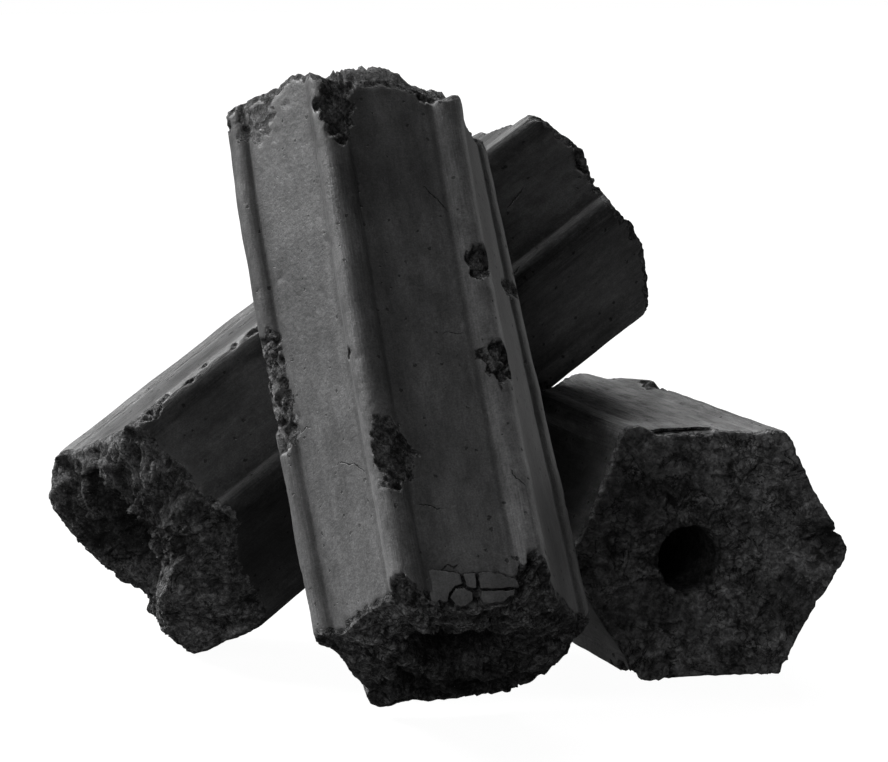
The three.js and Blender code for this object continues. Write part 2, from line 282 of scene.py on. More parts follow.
def noise(p, seed=0):
    """Gradient noise at the points p, about -1 to 1."""
    f = np.floor(p)
    i = f.astype(np.int64)
    t = p - f
    u = t * t * t * (t * (t * 6 - 15) + 10)
    out = np.zeros(len(p))
    for dx in (0, 1):
        for dy in (0, 1):
            for dz in (0, 1):
                a, b, c = i[:, 0] + dx, i[:, 1] + dy, i[:, 2] + dz
                h = _hash(a, b, c, seed)
                gx = (h & np.uint32(1023)).astype(float) / 511.5 - 1
                gy = ((h >> np.uint32(10)) & np.uint32(1023)).astype(float) / 511.5 - 1
                gz = ((h >> np.uint32(20)) & np.uint32(1023)).astype(float) / 511.5 - 1
                g = gx * (t[:, 0] - dx) + gy * (t[:, 1] - dy) + gz * (t[:, 2] - dz)
                w = (
                    (u[:, 0] if dx else 1 - u[:, 0])
                    * (u[:, 1] if dy else 1 - u[:, 1])
                    * (u[:, 2] if dz else 1 - u[:, 2])
                )
                out += g * w
    return out * 1.6


def fbm(p, seed=0, octaves=4, fall=0.5):
    out, a, s = 0.0, 1.0, 1.0
    for o in range(octaves):
        out = out + a * noise(p * s, seed + 17 * o)
        a *= fall
        s *= 2.03
    return out


def facets(p, seed=0, tilt=0.9):
    """Broken facets: each cell is a plane of its own height and tilt. Returns the height and how near an edge it is."""
    base = np.floor(p).astype(np.int64)
    best = np.full(len(p), 9e9)
    second = np.full(len(p), 9e9)
    height = np.zeros(len(p))
    for dx in (-1, 0, 1):
        for dy in (-1, 0, 1):
            for dz in (-1, 0, 1):
                a, b, c = base[:, 0] + dx, base[:, 1] + dy, base[:, 2] + dz
                q = np.stack(
                    [
                        a + rand(a, b, c, seed),
                        b + rand(a, b, c, seed + 1),
                        c + rand(a, b, c, seed + 2),
                    ],
                    -1,
                )
                v = p - q
                d = (v * v).sum(-1)
                n = np.stack(
                    [
                        rand(a, b, c, seed + 3) - 0.5,
                        rand(a, b, c, seed + 4) - 0.5,
                        rand(a, b, c, seed + 5) - 0.5,
                    ],
                    -1,
                )
                h = rand(a, b, c, seed + 6) * 2 - 1 + 2 * tilt * (n * v).sum(-1)
                near = d < best
                second = np.where(near, best, np.minimum(second, d))
                height = np.where(near, h, height)
                best = np.where(near, d, best)
    return height, np.sqrt(second) - np.sqrt(best)


def step(a, b, x):
    t = np.clip((x - a) / (b - a), 0, 1)
    return t * t * (3 - 2 * t)


# ---------------------------------------------------------------- the section and the ends
def around(table, angle):
    t = (angle / (2 * math.pi)) % 1.0
    n = len(table)
    i = np.floor(t * n).astype(int) % n
    f = t * n - np.floor(t * n)
    f = f * f * (3 - 2 * f) * 0.5 + f * 0.5
    table = np.asarray(table)
    return table[i] * (1 - f) + table[(i + 1) % n] * f


def end_at(s, end, x, y):
    scale = s["crest"] / RIB_CREST
    angle = np.arctan2(y, x)
    r = np.hypot(x, y) / (scale * 22.5)
    rim, mid = around(s[end], angle), around(s[end + "Mid"], angle)
    core = s[end + "Core"]
    outer = mid + (rim - mid) * (np.clip(r, 0.6, 1) - 0.6) / 0.4
    inner = core + (mid - core) * np.maximum(0, r - 0.25) / 0.35
    return np.where(r >= 0.6, outer, inner)


def section(s, angle):
    """Radius of the skin at an angle: flat faces, a round rib at each corner, a crisp crease on one side of it and a
    softer one on the other."""
    k = s["crest"] / RIB_CREST
    a = (angle + math.pi / 6) % (math.pi / 3) - math.pi / 6
    face_dist = s["face"]
    centre = RIB_CREST - RIB_ROUND
    face = face_dist / np.cos(math.pi / 6 - np.abs(a))
    inside = np.maximum(RIB_ROUND**2 - (centre * np.sin(a)) ** 2, 0.0)
    rib = centre * np.cos(a) + np.sqrt(inside)
    rib = np.where(inside > 0, rib, centre * np.cos(a) - 6 * (np.abs(centre * np.sin(a)) - RIB_ROUND))
    soft = np.where(a > 0, s["crisp"], s["soft"])
    h = np.clip(0.5 + 0.5 * (rib - face) / soft, 0, 1)
    return (face * (1 - h) + rib * h + soft * h * (1 - h)) * k


def settle(s, x, y, w):
    """From the straight stick in mm to the pile in metres."""
    u = w / s["length"]
    turn = s["twist"] * (u - 0.5)
    hump = u * (1 - u) * 4
    scale = 1 + s["taper"] * (u - 0.5) + s["waist"] * (hump - 1)
    c, n = np.cos(turn), np.sin(turn)
    X = (x * c - y * n) * scale + s["bend"][0] * hump
    Y = (x * n + y * c) * scale + s["bend"][1] * hump
    ex, along = np.array(s["x"]), np.array(s["along"])
    ey = np.cross(ex, along)
    p = (
        np.array(s["at"])
        + np.array(CENTRE)
        + X[..., None] * ex
        + Y[..., None] * ey
        + w[..., None] * along
    )
    return p / 1000


def crack_fields(s, angle, w):
    """Signed distance in mm to the nearest hairline crack, and its half width there."""
    k = s["crest"]
    dist = np.full(angle.shape, 5.0)
    wide = np.zeros(angle.shape)
    for points, half in s["cracks"]:
        px = np.array([math.radians(a) * k * 0.9 for a, _ in points])
        pw = np.array([b for _, b in points])
        mid = px.mean()
        a = angle * k * 0.9
        a = a - np.round((a - mid) / (2 * math.pi * k * 0.9)) * (2 * math.pi * k * 0.9)
        lengths = np.hypot(np.diff(px), np.diff(pw))
        total, run = lengths.sum(), 0.0
        for i in range(len(px) - 1):
            ax, aw = px[i], pw[i]
            ux, uw = (px[i + 1] - ax) / lengths[i], (pw[i + 1] - aw) / lengths[i]
            t = np.clip((a - ax) * ux + (w - aw) * uw, 0, lengths[i])
            ox, ow = a - ax - ux * t, w - aw - uw * t
            d = np.hypot(ox, ow)
            side = np.sign(ux * ow - uw * ox)
            closer = d < np.abs(dist)
            end = np.minimum(run + t, total - run - t) / (0.25 * total)
            dist = np.where(closer, d * np.where(side == 0, 1, side), dist)
            wide = np.where(closer, half * np.clip(end, 0, 1) * step(0.8, 0.3, d), wide)
            run += lengths[i]
    return dist, wide


def rock(p, seed):
    """The height of snapped charcoal, in mm."""
    warp = np.stack([noise(p / 4.0, seed + 1), noise(p / 4.0, seed + 2), noise(p / 4.0, seed + 3)], -1)
    q = p + warp * 1.1
    big, edge = facets(q / np.array([5.2, 3.6, 5.0]), seed + 10)
    small, edge2 = facets(q / np.array([2.2, 1.5, 2.0]), seed + 30)
    h = 0.85 * fbm(p / 7.0, seed + 50, 3) + 0.58 * big + 0.46 * small
    h += 0.30 * noise(p / 1.25, seed + 70) + 0.13 * noise(p / 0.7, seed + 71)
    h -= 0.35 * step(0.16, 0.0, edge) + 0.16 * step(0.14, 0.0, edge2)
    return h


def columns(s, count, front):
    """Angles of the columns, closer together on the side that faces the front and on the ribs."""
    fine = np.linspace(0, 2 * math.pi, 14401)[:-1]
    r = section(s, fine)
    x, y = r * np.cos(fine), r * np.sin(fine)
    step_len = np.hypot(np.roll(x, -1) - x, np.roll(y, -1) - y)
    a = (np.degrees(fine) + 30) % 60 - 30
    weight = 1.0 + 0.55 * (np.abs(a) < 13)
    lo, hi = front
    facing = ((np.degrees(fine) - lo) % 360) < ((hi - lo) % 360)
    weight *= np.where(facing, 1.75, 1.0)
    run = np.concatenate([[0], np.cumsum(step_len * weight)])
    at = np.interp(np.arange(count) / count * run[-1], run, np.concatenate([fine, [2 * math.pi]]))
    return at


def rows(s, count, zones):
    """Shares of the way from the near end to the far end, closer together at the ends and in the zones."""
    length = s["length"]
    fine = np.linspace(0, 1, 4001)
    w = fine * length
    weight = 1 + 1.3 * np.exp(-w / 2.5) + 0.9 * np.exp(-(length - w) / 2.0)
    for lo, hi, more in zones:
        weight = np.where((w > lo) & (w < hi), weight * more, weight)
    run = np.concatenate([[0], np.cumsum((weight[1:] + weight[:-1]) / 2)])
    return np.interp(np.linspace(0, run[-1], count), run, fine)


def add_mesh(name, verts, faces, attributes, smooth=True):
    me = bpy.data.meshes.new(name)
    me.vertices.add(len(verts))
    me.vertices.foreach_set("co", np.asarray(verts, np.float32).ravel())
    sizes = np.full(len(faces), faces.shape[1], np.int32)
    me.loops.add(faces.size)
    me.loops.foreach_set("vertex_index", faces.astype(np.int32).ravel())
    me.polygons.add(len(faces))
    me.polygons.foreach_set("loop_start", np.concatenate([[0], np.cumsum(sizes)[:-1]]).astype(np.int32))
    me.polygons.foreach_set("loop_total", sizes)
    me.update(calc_edges=True)
    me.validate(clean_customdata=False)
    for key, value in attributes.items():
        if value.ndim == 2:
            at = me.attributes.new(key, "FLOAT_VECTOR", "POINT")
            at.data.foreach_set("vector", np.asarray(value, np.float32).ravel())
        else:
            at = me.attributes.new(key, "FLOAT", "POINT")
            at.data.foreach_set("value", np.asarray(value, np.float32))
    me.polygons.foreach_set("use_smooth", np.full(len(faces), smooth))
    ob = bpy.data.objects.new(name, me)
    bpy.context.scene.collection.objects.link(ob)
    return ob


def plane_pocket(s, x, y, w, pocket, deep):
    """How deep the pocket in the face between the ribs at 60 and 120 degrees is at a point, 0 outside it."""
    poly = np.array(pocket)
    inside = np.zeros(x.shape, bool)
    edge = np.full(x.shape, 9.0)
    for (ax, aw), (bx, bw) in zip(poly, np.roll(poly, -1, 0)):
        cross = ((aw > w) != (bw > w)) & (x < (bx - ax) * (w - aw) / (bw - aw + 1e-12) + ax)
        inside ^= cross
        ux, uw = bx - ax, bw - aw
        t = np.clip(((x - ax) * ux + (w - aw) * uw) / (ux * ux + uw * uw), 0, 1)
        edge = np.minimum(edge, np.hypot(x - ax - ux * t, w - aw - uw * t))
    return np.where(inside & (y > 0), deep * step(0.0, 0.25, edge), 0.0)


def build_stick(name, s, count, row_count, ring_count, bore_rows, front, zones):
    seed = s["seed"] * 101
    k = s["crest"] / RIB_CREST
    angle = columns(s, count, front)
    r = section(s, angle)
    x0, y0 = r * np.cos(angle), r * np.sin(angle)

    def end_height(end, x, y, share):
        """share is 0 at the rim and 1 inside it."""
        sign = 1 if end == "far" else -1
        p = np.stack([x, y, np.full(x.shape, 40.0 if end == "far" else 0.0)], -1)
        h = rock(p, seed + (500 if end == "far" else 0)) * s.get("rough", 1.0)
        jag = 0.5 * noise(p / 2.6, seed + 91) + 0.28 * noise(p / 1.0, seed + 92)
        return end_at(s, end, x, y) + sign * (share * h + (1 - share) * (0.25 * h + jag * 0.5))

    zero = np.zeros(count)
    w_near = end_height("near", x0, y0, zero)
    w_far = end_height("far", x0, y0, zero)
    t = rows(s, row_count, zones)
    A = np.broadcast_to(angle, (row_count, count)).ravel()
    W = (w_near[None] + (w_far - w_near)[None] * t[:, None]).ravel()
    R = np.broadcast_to(r, (row_count, count)).ravel().copy()
    P = np.stack([R * np.cos(A), R * np.sin(A), W], -1)
    rel = np.abs((np.degrees(A) + 30) % 60 - 30)
    rib = step(11.5, 7.0, rel)
    # slow unevenness of the skin, ribs that waver and a leathery surface
    R += 0.11 * noise(P / np.array([15, 15, 30.0]), seed + 1) + 0.05 * noise(P / 5.0, seed + 2)
    R += rib * (0.22 * noise(P / np.array([9, 9, 16.0]), seed + 3) + 0.10 * noise(P / np.array([4, 4, 6.0]), seed + 4))
    R += 0.018 * noise(P / 1.2, seed + 5)

    def bump_at(theta, along, half_a, half_w):
        da = np.degrees(np.angle(np.exp(1j * (A - math.radians(theta)))))
        return np.exp(-((da / half_a) ** 2) - ((W - along) / half_w) ** 2)

    for theta, along, half_a, half_w, rise in s["swells"]:
        R += rise * bump_at(theta, along, half_a, half_w)
    # painted light and shade on the skin, over the stick's own tone
    shade = np.log(s["tone"] * (s["fade"][0] + (s["fade"][1] - s["fade"][0]) * np.clip(W / s["length"], 0, 1)))
    for theta, along, half_a, half_w, gain in s["shades"]:
        shade += math.log(gain) * bump_at(theta, along, half_a, half_w)
    shade = np.exp(shade)
    gloss = np.ones(len(W))
    for theta, along, half_a, half_w, gain in s["dull"]:
        gloss *= np.exp(math.log(gain) * bump_at(theta, along, half_a, half_w))
    R -= 0.10 * step(0.50, 0.8, noise(P / np.array([2.6, 2.6, 3.4]), seed + 6))
    # the skin's edge crumbles a little at both ends
    from_end = np.minimum(W - np.tile(w_near, row_count), np.tile(w_far, row_count) - W)
    crumble = step(1.6, 0.0, from_end + 0.9 * noise(P / 1.6, seed + 7) - 0.2)
    R -= crumble * (0.30 + 0.25 * noise(P / 0.9, seed + 8))
    worn = np.clip(crumble * 2.2, 0, 1) * 0.85
    flat_level = s["face"] * k / np.cos(math.pi / 6 - np.radians(np.minimum(rel, 30)))
    for theta, along, half_a, half_w, deep, keep, cseed in s["chips"]:
        da = np.degrees(np.angle(np.exp(1j * (A - math.radians(theta))))) * math.pi / 180 * s["crest"]
        near = (np.abs(da) < half_a * 2.2 + 2) & (np.abs(W - along) < half_w * 2.2 + 2)
        if not near.any():
            continue
        p = P[near]
        q = np.hypot(da[near] / half_a, (W[near] - along) / half_w)
        size = min(half_a, half_w)
        q = q + 0.55 * noise(p / (0.8 * size + 0.4), seed + 200 + cseed) + 0.30 * noise(p / 1.5, seed + 250 + cseed)
        q = q + 0.16 * noise(p / 0.7, seed + 300 + cseed)
        m = step(1.04, 0.80, q)
        rough, edge = facets(p / 1.9, seed + 400 + cseed)
        rough2, edge2 = facets(p / 0.95, seed + 450 + cseed)
        lumpy = 1.0 if keep < 0.9 else 0.3
        floor = flat_level[near] * (1 - keep) + R[near] * keep - deep - 0.15
        floor += lumpy * (
            0.40 * rough + 0.26 * rough2 + 0.20 * noise(p / 0.8, seed + 480)
            - 0.3 * step(0.18, 0, edge) - 0.2 * step(0.2, 0, edge2)
        )
        new = np.minimum(R[near] - 0.02, floor)
        R[near] = R[near] * (1 - m) + new * m
        cover = step(1.16, 0.96, q)
        worn[near] = np.maximum(worn[near], cover if keep < 0.9 else cover * 0.60)
    X, Y = R * np.cos(A), R * np.sin(A)
    if "pocket" in s:
        d = plane_pocket(s, X, Y, W, s["pocket"], s["pocket_deep"])
        Y = Y - d * (1 + 0.12 * noise(P / 0.8, seed + 61))
        worn = np.maximum(worn, np.clip(d / 0.6, 0, 1))
    dist, wide = crack_fields(s, A, W)
    skin = np.stack([X, Y, W], -1).reshape(row_count, count, 3)
    relief = np.zeros((row_count, count))
    bore_angle = angle
    # the two ends, from the skin's edge in to the bore
    f = np.linspace(0, 1, ring_count + 1)[1:] ** 0.94

    def bore_ring(w):
        p = np.stack([6 * np.cos(bore_angle), 6 * np.sin(bore_angle), w], -1)
        rb = BORE_R + 0.22 * noise(p / 3.0, seed + 80) + 0.10 * noise(p / 1.1, seed + 81)
        return s["bore"][0] + rb * np.cos(bore_angle), s["bore"][1] + rb * np.sin(bore_angle)

    def end_grid(end, rim):
        flare = s.get(end + "_flare", 0.5)
        bx, by = bore_ring(np.full(count, 0.0))
        out, rel_out = [], []
        for g in f:
            # the bore's mouth opens a little
            e = 1 + flare * step(0.75, 1.0, g) / BORE_R
            gx = rim[:, 0] * (1 - g) + (s["bore"][0] + (bx - s["bore"][0]) * e) * g
            gy = rim[:, 1] * (1 - g) + (s["bore"][1] + (by - s["bore"][1]) * e) * g
            from_rim = np.hypot(gx - rim[:, 0], gy - rim[:, 1])
            share = step(0.0, 2.4, from_rim)
            h = end_height(end, gx, gy, share)
            base = end_at(s, end, gx, gy)
            for lump in s.get(end + "_lumps", []):
                lx, ly, rx, ry, rise = lump
                q = np.hypot((gx - lx) / rx, (gy - ly) / ry) + (0.12 if end == "far" else 0.25) * noise(np.stack([gx, gy, 0 * gx], -1) / 2.5, seed + 777)
                h = h + rise * step(1.12, 0.72, q) * step(0.0, 1.3, from_rim)
            out.append(np.stack([gx, gy, h], -1))
            rel_out.append((h - base) * (1 if end == "far" else -1))
        return np.array(out), np.array(rel_out)

    near_grid, near_relief = end_grid("near", skin[0])
    far_grid, far_relief = end_grid("far", skin[-1])
    # blend the rim into the end surface: the ring next to the skin starts at its edge
    bore_t = np.linspace(0, 1, bore_rows + 2)[1:-1]
    bore = []
    for u in bore_t:
        w = near_grid[-1, :, 2] * (1 - u) + far_grid[-1, :, 2] * u
        bx, by = bore_ring(w)
        # parallel to the axis, except where it opens at the two mouths
        bore.append(np.stack([bx, by, w], -1))
    bore = np.array(bore)
    loops = np.concatenate([skin, far_grid, bore[::-1], near_grid[::-1]])
    frac = np.concatenate(
        [
            worn.reshape(row_count, count),
            np.ones(far_grid.shape[:2]),
            np.ones(bore.shape[:2]),
            np.ones(near_grid.shape[:2]),
        ]
    )
    frac[0] = np.maximum(frac[0], 0.6)
    frac[row_count - 1] = np.maximum(frac[row_count - 1], 0.6)
    bore_painted_shade = np.concatenate(
        [
            np.zeros((row_count, count)),
            np.zeros(far_grid.shape[:2]),
            np.ones(bore.shape[:2]),
            np.zeros(near_grid.shape[:2]),
        ]
    )
    # painted shade: the far end's broken ground is pushed darker in the material
    far_relief = far_relief + s.get("far_painted_shade", 0.0)
    rel_all = np.concatenate([relief, far_relief, np.zeros(bore.shape[:2]), near_relief[::-1]])
    crack_d = np.full(frac.shape, 5.0)
    crack_w = np.zeros(frac.shape)
    crack_d[:row_count] = dist.reshape(row_count, count)
    crack_w[:row_count] = wide.reshape(row_count, count)
    rib_all = np.zeros(frac.shape)
    rib_all[:row_count] = rib.reshape(row_count, count)
    # the skin's tone with its painted light and shade
    tone_with_painted_light_all = np.full(frac.shape, s["tone"])
    tone_with_painted_light_all[:row_count] = shade.reshape(row_count, count)
    streak_all = np.full(frac.shape, s["streak"])
    if "brushed" in s:
        away = np.degrees(np.angle(np.exp(1j * (A - math.radians(s["brushed"])))))
        streak_all[:row_count] *= (0.45 + 0.75 * np.exp(-((away / 30.0) ** 2))).reshape(row_count, count)
    fracture_tone_with_painted_light_all = np.full(frac.shape, s.get("fracture_tone_with_painted_light", 1.0))
    # painted light and shade on the near end's broken ground
    for sx, sy, rx, ry, gain in s["spots"]:
        q = ((near_grid[::-1, :, 0] - sx) / rx) ** 2 + ((near_grid[::-1, :, 1] - sy) / ry) ** 2
        fracture_tone_with_painted_light_all[-ring_count:] *= np.exp(math.log(gain) * np.exp(-q))
    gloss_all = np.ones(frac.shape)
    gloss_all[:row_count] = gloss.reshape(row_count, count)
    n_loops = len(loops)
    flat = loops.reshape(-1, 3)
    verts = settle(s, flat[:, 0], flat[:, 1], flat[:, 2])
    verts[:, 2] = np.maximum(verts[:, 2], 0.00005 + 0.0 * verts[:, 2])
    i = np.arange(count)
    j = np.arange(n_loops)[:, None]
    jn = (j + 1) % n_loops
    quads = np.stack(
        [j * count + i, j * count + (i + 1) % count, jn * count + (i + 1) % count, jn * count + i], -1
    ).reshape(-1, 4)
    ob = add_mesh(
        name,
        verts,
        quads,
        {
            "stick": flat / 10.0,
            "frac": frac.ravel(),
            "bore_painted_shade": bore_painted_shade.ravel(),
            "relief": rel_all.ravel(),
            "crack_d": crack_d.ravel(),
            "crack_w": crack_w.ravel(),
            "rib": rib_all.ravel(),
            "tone": tone_with_painted_light_all.ravel(),
            "streak": streak_all.ravel(),
            "fracture_tone_with_painted_light": fracture_tone_with_painted_light_all.ravel(),
            "gloss": gloss_all.ravel(),
            "calm": np.full(frac.size, s.get("calm", 0.0)),
        },
    )
    return ob


# ---------------------------------------------------------------- flakes of skin
FRONT_FLAKES = {
    "front_flake_left": [
        (-7.3, 5.4), (-4.6, 5.2), (-2.2, 4.3), (-2.0, 2.6), (-3.4, 2.3), (-4.7, 1.2), (-5.2, -0.2), (-7.4, 0.6),
    ],
    "front_flake_splinter": [(-1.6, 4.3), (0.5, 4.2), (0.3, 1.5), (-1.3, 2.0)],
    "front_flake_pebble": [
        (-4.6, 0.4), (-3.4, 1.8), (-2.0, 1.9), (-0.7, 0.8), (-0.8, -0.5), (-2.2, -1.2), (-3.9, -0.9),
    ],
    "front_flake_upper": [(1.0, 4.2), (4.6, 3.6), (7.6, 2.0), (7.7, 0.9), (4.8, 1.0), (0.8, 1.4)],
    "front_flake_lower": [(0.9, 0.9), (4.6, 0.5), (6.9, 0.4), (6.6, -0.4), (3.8, -1.2), (0.7, -1.3)],
}
FRONT["pocket"] = [
    (-6.9, 5.5), (-4.6, 5.6), (-1.9, 4.7), (1.0, 4.6), (4.8, 4.0), (8.0, 2.3), (8.1, 0.5), (7.3, 0.1), (7.2, -6),
    (-6.4, -6),
]
FRONT["pocket_deep"] = 1.3
FRONT["flake_thick"] = 1.0
FRONT["joined"] = [(-9.0, -6.9, -2.0, 5.2)]
RIGHT_FLAKES = {
    "right_flake_rim": [
        (-8.6, 11.4), (-4.4, 11.6), (0.4, 10.6), (3.8, 9.6), (4.2, 8.2), (0.4, 8.6), (-4.4, 9.2), (-8.4, 9.6),
    ],
}
RIGHT["pocket"] = [(-8.2, 11.0), (-4.4, 11.2), (0.4, 10.2), (3.6, 9.2), (3.9, 4), (-8.2, 4)]
RIGHT["pocket_deep"] = 0.75
RIGHT["flake_thick"] = 0.5
RIGHT["joined"] = [(-9.0, -7.9, 8.0, 12.0), (3.6, 5.0, 8.0, 12.0), (-9.0, 5.0, 9.9, 12.2)]


def build_flake(name, s, outline, others=(), rise=0.03, tip=(0.0, 0.0)):
    """A plate of skin with a jagged edge, a slightly domed top and a rough underside."""
    seed = s["seed"] * 101 + sum(ord(c) for c in name)
    k = s["crest"] / RIB_CREST
    face = s["face"] * k
    o = np.array(outline, float)
    closed = np.vstack([o, o[:1]])
    lengths = np.hypot(*np.diff(closed, axis=0).T)
    run = np.concatenate([[0], np.cumsum(lengths)])
    n = max(96, int(run[-1] / 0.14))
    t = np.arange(n) / n * run[-1]
    ox, ow = np.interp(t, run, closed[:, 0]), np.interp(t, run, closed[:, 1])
    cx, cw = ox.mean(), ow.mean()
    p = np.stack([ox, ow, np.zeros(n)], -1)
    # the outline grows to a hair from its neighbours, and its edge is ragged
    dx, dw = np.roll(ox, -1) - np.roll(ox, 1), np.roll(ow, -1) - np.roll(ow, 1)
    long = np.hypot(dx, dw)
    turn = 1 if (ox * np.roll(ow, -1) - np.roll(ox, -1) * ow).sum() > 0 else -1
    beside = np.full(n, 9.0)
    for other in others:
        for (ax, aw), (bx, bw) in zip(other, other[1:] + other[:1]):
            ux, uw = bx - ax, bw - aw
            at = np.clip(((ox - ax) * ux + (ow - aw) * uw) / (ux * ux + uw * uw), 0, 1)
            beside = np.minimum(beside, np.hypot(ox - ax - ux * at, ow - aw - uw * at))
    free = step(0.7, 1.5, beside)
    hair = noise(p / 1.6, 900)
    # the sides where the flake still runs on into the skin go down into it
    sink = np.zeros(n)
    for lo_x, hi_x, lo_w, hi_w in s["joined"]:
        sink = np.maximum(sink, step(lo_x - 0.4, lo_x, ox) * step(hi_x + 0.4, hi_x, ox) * step(lo_w - 0.4, lo_w, ow) * step(hi_w + 0.4, hi_w, ow))
    grow = (0.03 + 0.12 * hair) * (1 - free) + (0.16 + 0.34 * np.clip(hair + 0.1, -0.6, 0.6)) * free
    grow = grow - 0.06 * np.abs(noise(p / 0.35, seed + 1)) - 0.12 * np.clip(noise(p / 0.8, seed + 7), 0, 1)
    grow = grow * (1 - sink) + 0.55 * sink
    bury = 0.22
    ox, ow = ox + turn * dw / long * grow, ow - turn * dx / long * grow
    rings = []
    for g in np.linspace(0.04, 1, 15):
        x, w = cx + (ox - cx) * g, cw + (ow - cw) * g
        q = np.stack([x, w, np.zeros(n)], -1)
        y = face + 0.03 * noise(q / 1.4, seed + 2) - 0.05 * g**16 - sink * bury * g**6
        rings.append(np.stack([x, y, w], -1))
    thick = s["flake_thick"]
    for depth, grow in ((0.2, 0.995), (0.52, 0.98), (0.82, 0.95), (1.0, 0.90)):
        x, w = cx + (ox - cx) * grow, cw + (ow - cw) * grow
        q = np.stack([x, w, np.full(n, depth)], -1)
        y = face - depth * thick - sink * bury + 0.03 * noise(q / 0.6, seed + 3)
        rings.append(np.stack([x, y, w], -1))
    for g in (0.6, 0.3, 0.04):
        x, w = cx + (ox - cx) * g, cw + (ow - cw) * g
        rings.append(np.stack([x, np.full(n, face - 1.02 * thick), w], -1))
    rings = np.array(rings)
    frac = np.zeros(rings.shape[:2])
    frac[13] = 0.3
    frac[14] = 0.7
    frac[13:15] *= 1 - sink
    frac[15:] = 1.0
    tilt = (rings[..., 0] - cx) * tip[0] + (rings[..., 2] - cw) * tip[1]
    rings[..., 1] += rise + tilt
    flat = rings.reshape(-1, 3)
    verts = settle(s, flat[:, 0], flat[:, 1], flat[:, 2])
    i = np.arange(n)
    j = np.arange(len(rings) - 1)[:, None]
    quads = np.stack([j * n + i, j * n + (i + 1) % n, (j + 1) * n + (i + 1) % n, (j + 1) * n + i], -1).reshape(-1, 4)
    # the two middle rings close on a fan of quads
    def cap(start, flip):
        h = n // 2
        a = np.arange(h - 1)
        q = np.stack([start + a, start + a + 1, start + n - 2 - a, start + n - 1 - a], -1)
        return q[:, ::-1] if flip else q
    quads = np.concatenate([quads, cap(0, True), cap((len(rings) - 1) * n, False)])
    zero = np.zeros(len(flat))
    return add_mesh(
        name,
        verts,
        quads,
        {
            "stick": flat / 10.0,
            "frac": frac.ravel(),
            "bore_painted_shade": zero,
            "relief": zero,
            "crack_d": zero + 5,
            "crack_w": zero,
            "rib": zero,
            "tone": zero + s["tone"] * s["fade"][0],
            "streak": zero + s["streak"],
            "fracture_tone_with_painted_light": zero + s.get("fracture_tone_with_painted_light", 1.0),
            "gloss": zero + 1.0,
            "calm": zero + s.get("calm", 0.0),
        },
    )


